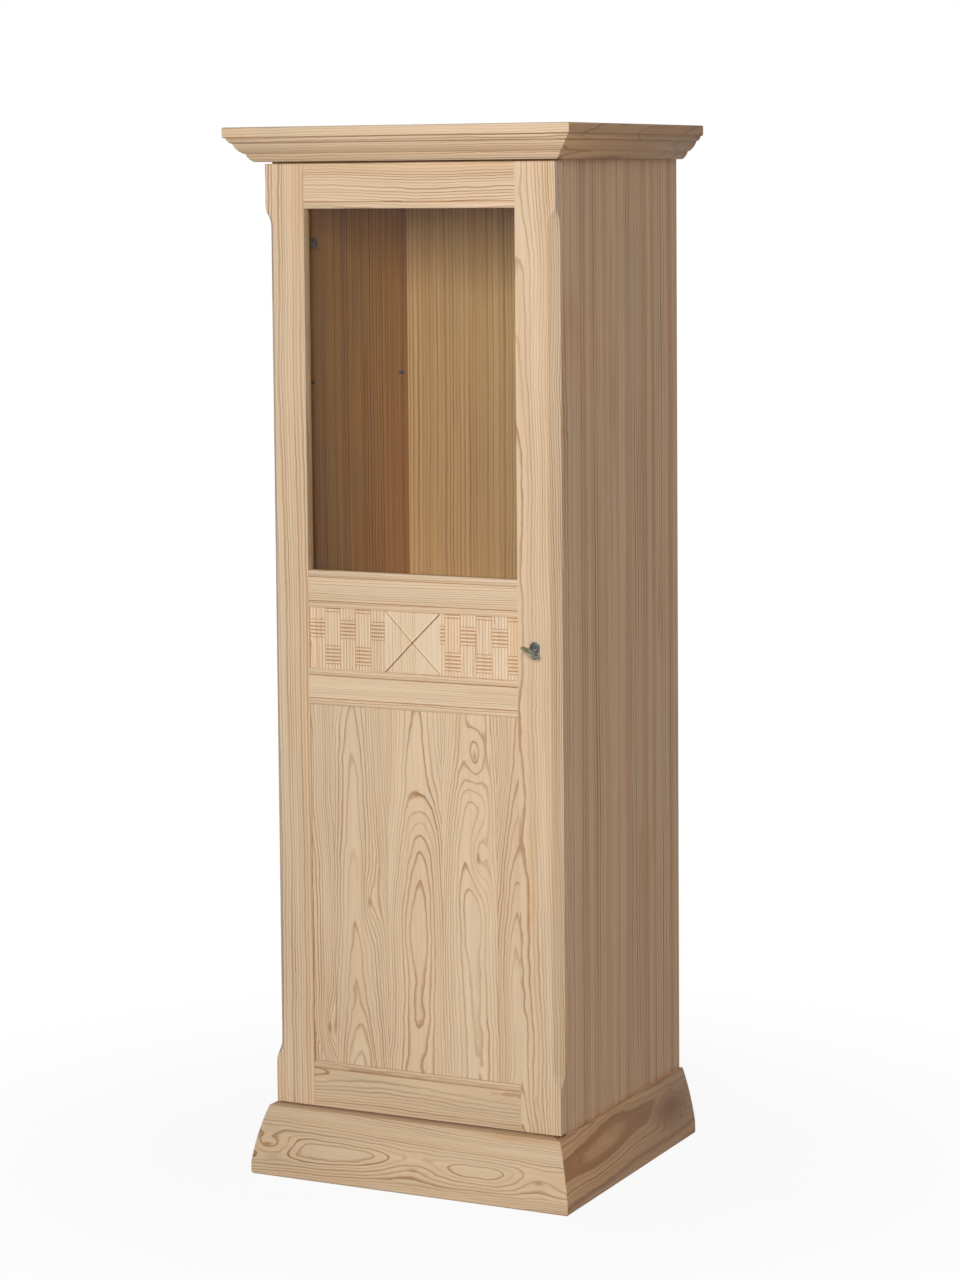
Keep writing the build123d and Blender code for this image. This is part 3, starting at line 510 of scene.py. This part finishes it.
def pine(name, centre, axes, cut, shade, seed, stave=WHOLE_BOARD, shades=()):
    """The material of one board; axes names across, through and along, such as zyx for a rail."""
    made, tree, surface = new_material(name)
    early, late, warm = SHADES[shade]
    place = tree.node("ShaderNodeTexCoord").outputs["Object"]
    sides = tree.split(tree.vector("SUBTRACT", place, tuple(centre)))
    wood = tree.group(
        SAWN_PINE,
        Place=tree.join(*[sides["XYZ".index(letter.upper())] for letter in axes]),
        Early_Wood=early,
        Late_Wood=late,
        Warm_Wood=warm,
        Stave=stave,
        Seed=seed,
        **CUTS[cut],
    )
    colour = wood["Color"]
    for part in shades:
        distance = tree.vector("DOT_PRODUCT", place, part.direction)
        if part.centre is not None:
            distance = tree.math("ABSOLUTE", tree.math("SUBTRACT", distance, part.centre))
        shaded = tree.group(
            SHADED, Color=colour, Distance=distance, Clean=part.clean, Full=part.full, Tint=part.tint
        )
        colour = shaded["Color"]
    tree.put(surface.inputs["Base Color"], colour)
    tree.put(surface.inputs["Roughness"], wood["Roughness"])
    surface.inputs["Specular IOR Level"].default_value = 0.32
    bump = tree.node("ShaderNodeBump")
    bump.inputs["Strength"].default_value = 1.0
    bump.inputs["Distance"].default_value = GRAIN_RELIEF
    tree.put(bump.inputs["Height"], wood["Height"])
    tree.put(surface.inputs["Normal"], bump.outputs["Normal"])
    return made


# Metal, glass and buffers


def worn_metal_group():
    """Plated or burnished metal: handling marks, fine scratches and a cloudy polish."""
    value = "NodeSocketFloat"
    colour = "NodeSocketColor"
    tree, given, out = new_group(
        "worn_metal",
        (
            ("Place", "NodeSocketVector", None),
            ("Metal Color", colour, tone(150, 150, 145)),
            ("Tarnish Color", colour, tone(70, 66, 58)),
            ("Tarnish", value, 0.3),
            ("Polish", value, 0.3),
        ),
        (("Color", colour), ("Roughness", value), ("Height", value)),
    )
    cloud = tree.noise(given["Place"], TARNISH_WAVES, 3.0)["Fac"]
    scratch = tree.noise(given["Place"], SCRATCH_WAVES, 2.0)["Fac"]
    marks = tree.range(cloud, 0.38, 0.68)
    dull = tree.math("MULTIPLY", marks, given["Tarnish"])
    tree.put(out["Color"], tree.blend(dull, given["Metal Color"], given["Tarnish Color"]))
    rough = tree.math("ADD", given["Polish"], tree.math("MULTIPLY", marks, 0.14))
    tree.put(out["Roughness"], tree.math("ADD", rough, tree.math("MULTIPLY", scratch, 0.08)))
    tree.put(out["Height"], tree.math("ADD", scratch, tree.math("MULTIPLY", marks, 0.5)))
    return tree.tree


WORN_METAL = worn_metal_group()


def metal(name, base, tarnish_colour, tarnish, polish):
    """A metal finish made from the worn metal group."""
    made, tree, surface = new_material(name)
    wear = tree.group(
        WORN_METAL,
        Place=tree.node("ShaderNodeTexCoord").outputs["Object"],
        Metal_Color=base,
        Tarnish_Color=tarnish_colour,
        Tarnish=tarnish,
        Polish=polish,
    )
    tree.put(surface.inputs["Base Color"], wear["Color"])
    tree.put(surface.inputs["Roughness"], wear["Roughness"])
    surface.inputs["Metallic"].default_value = 1.0
    bump = tree.node("ShaderNodeBump")
    bump.inputs["Strength"].default_value = 0.4
    bump.inputs["Distance"].default_value = SCRATCH_RELIEF
    tree.put(bump.inputs["Height"], wear["Height"])
    tree.put(surface.inputs["Normal"], bump.outputs["Normal"])
    return made


def clear_glass():
    """Float glass that lets daylight through to the boards behind it, with faint smears."""
    made, tree, surface = new_material("clear_glass")
    surface.inputs["Transmission Weight"].default_value = 1.0
    surface.inputs["IOR"].default_value = 1.28
    place = tree.node("ShaderNodeTexCoord").outputs["Object"]
    smear = tree.noise(place, SMEAR_WAVES, 3.0)["Fac"]
    smear = tree.range(smear, 0.45, 0.8)
    tree.put(surface.inputs["Base Color"], tree.blend(smear, tone(246, 250, 247), tone(238, 243, 240)))
    surface.inputs["Roughness"].default_value = 0.0
    rays = tree.node("ShaderNodeLightPath").outputs
    through = tree.math("MAXIMUM", rays["Is Shadow Ray"], rays["Is Diffuse Ray"])
    clear = tree.node("ShaderNodeBsdfTransparent")
    clear.inputs["Color"].default_value = tone(238, 240, 238)
    mixed = tree.node("ShaderNodeMixShader")
    tree.put(mixed.inputs[0], through)
    tree.put(mixed.inputs[1], surface.outputs[0])
    tree.put(mixed.inputs[2], clear.outputs[0])
    output = made.node_tree.nodes["Material Output"]
    tree.put(output.inputs["Surface"], mixed.outputs[0])
    return made


def buffer_plastic():
    """Soft clear-white buffer dots with a slightly dusty skin."""
    made, tree, surface = new_material("buffer_plastic")
    place = tree.node("ShaderNodeTexCoord").outputs["Object"]
    dust = tree.noise(place, DUST_WAVES, 3.0)["Fac"]
    tree.put(surface.inputs["Base Color"], tree.blend(dust, tone(214, 212, 202), tone(186, 182, 170)))
    tree.put(surface.inputs["Roughness"], tree.range(dust, 0.2, 0.8, 0.32, 0.55))
    return made


# Boards of the cabinet: node, axes, cut and shade
BOARDS = (
    ("stile_hinge_side", "xyz", "straight", "front"),
    ("stile_lock_side", "xyz", "plain", "front"),
    ("rail_top", "zyx", "lined", "front"),
    ("rail_under_glass", "zyx", "quiet", "front"),
    ("rail_middle", "zyx", "quiet", "front"),
    # The bottom rail and plinth front take the darker copy, which paints the shade low on the front
    ("rail_bottom", "zyx", "plain", "shaded_foot"),
    ("plinth_front", "zyx", "flame", "shaded_foot"),
    ("plinth_left", "zxy", "flame", "side"),
    # The right plinth takes the darker copy, which paints its shade as well as its resinous eye
    ("plinth_right", "zxy", "resinous", "resin_and_shade"),
    ("cornice_front", "zyx", "lined", "front"),
    ("cornice_left", "zxy", "plain", "side"),
    # The right cornice takes the darker copy, which paints the shade under and beside it
    ("cornice_right", "zxy", "plain", "resin_and_shade"),
    ("side_lipping_left", "xyz", "straight", "side"),
    ("side_lipping_right", "xyz", "straight", "side"),
    ("band_backing", "zyx", "plain", "rough"),
    ("glazing_beads_level", "zyx", "fine", "back"),
    ("glazing_beads_upright", "xyz", "fine", "back"),
    ("plinth_back_rail", "zyx", "plain", "rough"),
    ("plinth_front_ledge", "yzx", "plain", "front"),
    ("plinth_corner_blocks", "xyz", "plain", "rough"),
    ("cornice_base_board", "yzx", "plain", "rough"),
    ("cornice_back_rail", "zyx", "plain", "rough"),
)

# Panels glued from staves: node, axes, cut, shade, stave width
PANELS = (
    ("lower_panel", "xyz", "flame", "front", PANEL_STAVE),
    ("side_panel_left", "yxz", "fine", "side", SIDE_STAVE),
    ("side_panel_right", "yxz", "fine", "side", SIDE_STAVE),
    ("back_panel", "xyz", "fine", "back", BACK_STAVE),
    ("top_board", "yzx", "plain", "inner", SHELF_STAVE),
    ("bottom_board", "yzx", "plain", "inner", SHELF_STAVE),
    ("fixed_shelf", "yzx", "plain", "inner", SHELF_STAVE),
    ("loose_shelf", "yzx", "plain", "inner", SHELF_STAVE),
    ("cornice_top_board", "yzx", "plain", "rough", SHELF_STAVE),
)


def paint(node, material):
    """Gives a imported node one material."""
    slots = frame["nodes"][node].data.materials
    slots.clear()
    slots.append(material)


def soften(node, width, segments=2):
    """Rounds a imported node's sharp edges a little, as sanding does."""
    thing = frame["nodes"][node]
    weld = thing.modifiers.new("weld", "WELD")
    weld.merge_threshold = 0.01 * MM
    flat = thing.modifiers.new("flat", "DECIMATE")
    flat.decimate_type = "DISSOLVE"
    flat.angle_limit = FLAT_FACES
    edge = thing.modifiers.new("edge", "BEVEL")
    edge.width = width
    edge.segments = segments
    edge.limit_method = "ANGLE"
    edge.angle_limit = SHARP_EDGE
    edge.use_clamp_overlap = True


def node_centre(node):
    low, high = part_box(node)
    return (low + high) / 2


def edge_width(node):
    """Tight joints stay tight, mouldings are eased a little, and other edges are sanded round."""
    if node.startswith("side_"):
        return JOINT_ROUND
    if node.startswith(("rail_", "cornice_")):
        return MOULDING_ROUND
    return EDGE_ROUND


def inside_shade(node):
    """An amber skin on the inner face of a side: partly the wood's own warmer colour, partly painted
    shade and warm bounced light inside the case, a skin deep.
    """
    low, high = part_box(node)
    inner, outward = (high.x, -1) if high.x < 0 else (low.x, 1)
    # The amber tint stands partly for the wood's colour and partly for painted shade inside the case
    return Shade((1, 0, 0), None, inner + outward * 2 * SKIN, inner + outward * SKIN, INSIDE_AMBER_AND_SHADE)


def quirk_shades(node):
    """The painted shadow line in each quirk of a beaded rail or of the cornice."""
    low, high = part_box(node)
    levels = []
    if node in BEADED_BELOW:
        levels.append(low.z + BEAD_QUIRK)
    if node in BEADED_ABOVE:
        levels.append(high.z - BEAD_QUIRK)
    if node in CORNICE_LENGTHS:
        levels.extend(high.z - drop for drop in CORNICE_QUIRKS)
    # Each quirk gets a painted shadow line
    return [Shade((0, 0, 1), level, QUIRK_HALF, 0.0, QUIRK_SHADOW) for level in levels]


def dress_boards():
    """Gives every board its own piece of pine and sanded edges."""
    for count, (node, axes, cut, shade) in enumerate(BOARDS):
        centre = node_centre(node)
        seed = count + 1.0
        paint(node, pine(node + "_pine", centre, axes, cut, shade, seed, shades=quirk_shades(node)))
        soften(node, edge_width(node))
    door_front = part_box("stile_lock_side")[0].y
    for count, (node, axes, cut, shade, stave) in enumerate(PANELS):
        centre = node_centre(node)
        shades = ()
        if node.startswith("side_panel"):
            centre.y = door_front + SIDE_JOINT + SIDE_STAVE / 2
            shades = (inside_shade(node),)
        seed = 40.0 + count
        paint(node, pine(node + "_pine", centre, axes, cut, shade, seed, stave, shades=shades))
        soften(node, edge_width(node))


def dress_metal():
    """Bright plated fittings; a darker nickel on the keyhole plate and upper pins, also put on the
    hinge arms as painted shade; and a pewter key.
    """
    plated = metal("nickel_plate", tone(190, 188, 182), tone(116, 108, 94), 0.35, 0.22)
    dark = metal("black_nickel_and_shade", tone(140, 142, 147), tone(58, 60, 64), 0.6, 0.2)
    pewter = metal("pewter", tone(150, 147, 128), tone(86, 82, 68), 0.6, 0.3)
    for node in (
        "hinge_plates hinge_plate_screws hinge_cups hinge_cup_screws lock_case lock_screws "
        "strike_plate strike_screws lock_cam lock_bolt lower_shelf_pins"
    ).split():
        paint(node, plated)
    # Dark nickel on the keyhole plate and upper pins; on the hinge arms it is painted shade, where the
    # arms sit in shadow
    for node in ("escutcheon", "upper_shelf_pins", "hinge_arms"):
        paint(node, dark)
    paint("key", pewter)
    soften("key", METAL_ROUND, 3)
    paint("door_buffers", buffer_plastic())
    paint("glass_pane", clear_glass())


# The carved band


def reed_profile(share, gap):
    """Height of a rounded reed across its width: 1 on top, 0 in the gap beside it."""
    away = np.clip(np.abs(2 * share - 1) / (1 - gap), 0, 1)
    return np.sqrt(1 - away**REED_CURVE)


def weave_depth(across, down, lead):
    """How deep the weave is cut at distances across and down one block."""
    shifted = across - lead
    column = np.floor(shifted / WEAVE_COLUMN) + 1
    within = (shifted / WEAVE_COLUMN) % 1.0
    first = WEAVE_FIRST + np.where(column % 2 == 0, 0, WEAVE_PERIOD / 2)
    away = (down - first + WEAVE_PERIOD / 2) % WEAVE_PERIOD - WEAVE_PERIOD / 2
    crossing = np.abs(away) < WEAVE_SHORT / 2
    cross_share = ((away / WEAVE_SHORT + 0.5) * REEDS) % 1.0
    cross_end = np.sqrt(np.clip(1 - np.abs(2 * within - 1) ** CROSS_END_CURVE, 0, 1))
    cross = reed_profile(cross_share, CROSS_GAP) * (0.5 + 0.5 * cross_end)
    long_half = (WEAVE_PERIOD - WEAVE_SHORT) / 2
    along = (WEAVE_PERIOD / 2 - np.abs(away)) / long_half
    upright_end = np.sqrt(np.clip(1 - np.abs(along) ** UPRIGHT_END_CURVE, 0, 1))
    upright = 0.28 + 0.62 * reed_profile((within * REEDS) % 1.0, UPRIGHT_GAP)
    upright = upright * (0.55 + 0.45 * upright_end)
    side_gap = np.clip(np.minimum(within, 1 - within) * WEAVE_COLUMN / COLUMN_GAP, 0, 1)
    height = np.where(crossing, cross, upright) * (0.35 + 0.65 * side_gap)
    return (1 - height) * REED_DEPTH


def pyramid_depth(across, down, size):
    """How deep a low pyramid with grooved diagonals is cut; its peak is in the middle."""
    x = across - size.x / 2
    z = down - size.z / 2
    fall = np.maximum(np.abs(x) / size.x, np.abs(z) / size.z) * 2 * PYRAMID_RISE
    turned_x = x / size.x * size.z
    grooves = 0
    for offset, weight in ((turned_x + z, 1.0), (turned_x - z, FAINT_VEE)):
        away = np.abs(offset) / math.sqrt(2)
        grooves = grooves + weight * VEE_DEPTH * np.clip(1 - 2 * away / VEE_WIDTH, 0, 1)
    return fall + grooves


def carved_piece(node, name, depth_at, material):
    """A closed block whose front face is cut to a depth that varies over it."""
    low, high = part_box(node)
    columns = int((high.x - low.x) / CARVING_STEP)
    rows = int((high.z - low.z) / CARVING_STEP)
    grid_x, grid_z = np.meshgrid(np.linspace(low.x, high.x, columns), np.linspace(low.z, high.z, rows))
    grid_y = low.y - CARVING_SINK + depth_at(grid_x - low.x, high.z - grid_z)
    front = np.stack([grid_x, grid_y, grid_z], axis=-1).reshape(-1, 3)
    index = np.arange(rows * columns).reshape(rows, columns)
    border = np.concatenate([index[0, :-1], index[:-1, -1], index[-1, :0:-1], index[:0:-1, 0]])
    behind = front[border].copy()
    behind[:, 1] = high.y
    first = len(front)
    count = len(border)
    corners = (index[:-1, :-1], index[:-1, 1:], index[1:, 1:], index[1:, :-1])
    faces = [tuple(int(v) for v in face) for face in np.stack(corners, axis=-1).reshape(-1, 4)]
    for here in range(count):
        after = (here + 1) % count
        faces.append((int(border[after]), int(border[here]), first + here, first + after))
    faces.append(tuple(first + here for here in range(count)))
    mesh = bpy.data.meshes.new(name)
    mesh.from_pydata([tuple(p) for p in np.concatenate([front, behind])], [], faces)
    mesh.validate()
    mesh.shade_smooth()
    mesh.set_sharp_from_angle(angle=CARVING_CREASE)
    mesh.materials.append(material)
    piece = bpy.data.objects.new(name, mesh)
    bpy.context.scene.collection.objects.link(piece)
    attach(piece, "door")
    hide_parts(node)


def carved_pine(node, seed):
    """Pine for a carved block, with painted shade where the cuts are deep."""
    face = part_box(node)[0].y
    # Painted shade that deepens with the depth of the cut
    hollow_shade = Shade((0, 1, 0), None, face + CARVING_CLEAN, face + REED_DEPTH, DEEP_CUT_SHADE)
    return pine(node + "_pine", node_centre(node), "xyz", "quiet", "carved", seed, shades=(hollow_shade,))


def pyramid_shades(low, high):
    """The grooved diagonals of the pyramid: a painted shadow line in each groove, with a painted
    highlight along the arris beside it.
    """
    size = high - low
    middle = (low + high) / 2
    shades = []
    for turn, dark, arris in ((-1, STRONG_GROOVE_SHADE, 1), (1, FAINT_GROOVE_SHADE, -1)):
        slope = Vector((size.z / size.x, 0, turn)) / math.sqrt(2)
        centre = slope.dot(middle)
        # A painted shadow line along the groove
        shades.append(Shade(tuple(slope), centre, VEE_WIDTH * 0.55, VEE_WIDTH * 0.15, dark))
        # A painted highlight along the arris beside the groove
        beside = centre - arris * VEE_WIDTH * 0.8
        shades.append(Shade(tuple(slope), beside, VEE_WIDTH * 0.5, VEE_WIDTH * 0.1, ARRIS_HIGHLIGHT))
    return shades


def carved_band():
    """Two basket-weave blocks and the pyramid between them."""
    for side, lead, seed in (("left", WEAVE_COLUMN, 60.0), ("right", RIGHT_LEAD, 61.0)):
        node = "woven_block_" + side
        carved_piece(
            node,
            "woven_carving_" + side,
            lambda across, down, lead=lead: weave_depth(across, down, lead),
            carved_pine(node, seed),
        )
    low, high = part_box("pyramid_block")
    carved_piece(
        "pyramid_block",
        "carved_pyramid",
        lambda across, down: pyramid_depth(across, down, high - low),
        pine(
            "pyramid_pine", (low + high) / 2, "xyz", "quiet", "carved", 62.0,
            shades=pyramid_shades(low, high),
        ),
    )


# Room, lights and camera


def white_rays(tree):
    """1 for rays that should see the plain white background, in sight, in metal and through glass."""
    rays = tree.node("ShaderNodeLightPath").outputs
    seen = tree.math("MAXIMUM", rays["Is Camera Ray"], rays["Is Glossy Ray"])
    return tree.math("MAXIMUM", seen, rays["Is Transmission Ray"])


def world():
    """Soft daylight all round, and white behind the cabinet."""
    made = bpy.data.worlds.new("studio")
    bpy.context.scene.world = made
    made.use_nodes = True
    tree = Tree(made.node_tree)
    ambient = made.node_tree.nodes["Background"]
    ambient.inputs["Color"].default_value = (0.98, 0.99, 1.0, 1.0)
    ambient.inputs["Strength"].default_value = DAYLIGHT
    white = tree.node("ShaderNodeBackground")
    white.inputs["Color"].default_value = (1, 1, 1, 1)
    white.inputs["Strength"].default_value = 1.0
    mixed = tree.node("ShaderNodeMixShader")
    tree.put(mixed.inputs[0], white_rays(tree))
    tree.put(mixed.inputs[1], ambient.outputs[0])
    tree.put(mixed.inputs[2], white.outputs[0])
    tree.put(made.node_tree.nodes["World Output"].inputs["Surface"], mixed.outputs[0])


def floor():
    """A plain pale floor that keeps the cabinet's shadow and fades into the white."""
    mesh = bpy.data.meshes.new("floor")
    signs = ((-1, -1), (1, -1), (1, 1), (-1, 1))
    mesh.from_pydata([(x * FLOOR_HALF, y * FLOOR_HALF, 0) for x, y in signs], [], [(0, 1, 2, 3)])
    thing = bpy.data.objects.new("floor", mesh)
    bpy.context.scene.collection.objects.link(thing)
    made, tree, surface = new_material("pale_floor")
    surface.inputs["Base Color"].default_value = (0.7, 0.7, 0.69, 1)
    surface.inputs["Roughness"].default_value = 0.8
    white = tree.node("ShaderNodeEmission")
    white.inputs["Strength"].default_value = 1.0
    away = tree.vector("LENGTH", tree.node("ShaderNodeTexCoord").outputs["Object"])
    plain = tree.range(away, FADE_START, FADE_END, FLOOR_PLAIN, 1.0)
    mixed = tree.node("ShaderNodeMixShader")
    tree.put(mixed.inputs[0], tree.math("MULTIPLY", white_rays(tree), plain))
    tree.put(mixed.inputs[1], surface.outputs[0])
    tree.put(mixed.inputs[2], white.outputs[0])
    tree.put(made.node_tree.nodes["Material Output"].inputs["Surface"], mixed.outputs[0])
    mesh.materials.append(made)


def key_light():
    """One large soft lamp, nearly in front of the door and a little to its right."""
    light = bpy.data.lights.new("key_light", "AREA")
    light.shape = "SQUARE"
    light.size = KEY_SIZE
    light.energy = KEY_POWER
    light.color = KEY_COLOUR
    thing = bpy.data.objects.new("key_light", light)
    thing.location = KEY_PLACE
    thing.rotation_euler = (KEY_AIM - KEY_PLACE).to_track_quat("-Z", "Y").to_euler()
    bpy.context.scene.collection.objects.link(thing)


def camera():
    """The photograph's camera: place, turn, lens and shift."""
    ahead = Vector(
        (
            -math.sin(CAMERA_YAW) * math.cos(CAMERA_PITCH),
            math.cos(CAMERA_YAW) * math.cos(CAMERA_PITCH),
            -math.sin(CAMERA_PITCH),
        )
    )
    level = Vector((math.cos(CAMERA_YAW), math.sin(CAMERA_YAW), 0))
    upward = level.cross(ahead)
    right = level * math.cos(CAMERA_ROLL) + upward * math.sin(CAMERA_ROLL)
    top = upward * math.cos(CAMERA_ROLL) - level * math.sin(CAMERA_ROLL)
    data = bpy.data.cameras.new("camera")
    data.sensor_fit = "AUTO"
    data.sensor_width = SENSOR
    data.lens = FOCAL_PIXELS * SENSOR / IMAGE_HEIGHT
    data.shift_y = (AXIS_ROW - IMAGE_HEIGHT / 2) / IMAGE_HEIGHT
    data.clip_end = 100
    thing = bpy.data.objects.new("camera", data)
    turn = Matrix((right, top, -ahead)).transposed()
    thing.matrix_world = Matrix.Translation(CAMERA_PLACE) @ turn.to_4x4()
    bpy.context.scene.collection.objects.link(thing)
    bpy.context.scene.camera = thing


dress_boards()
dress_metal()
carved_band()
world()
floor()
key_light()
camera()
bpy.context.scene.view_settings.view_transform = "Standard"
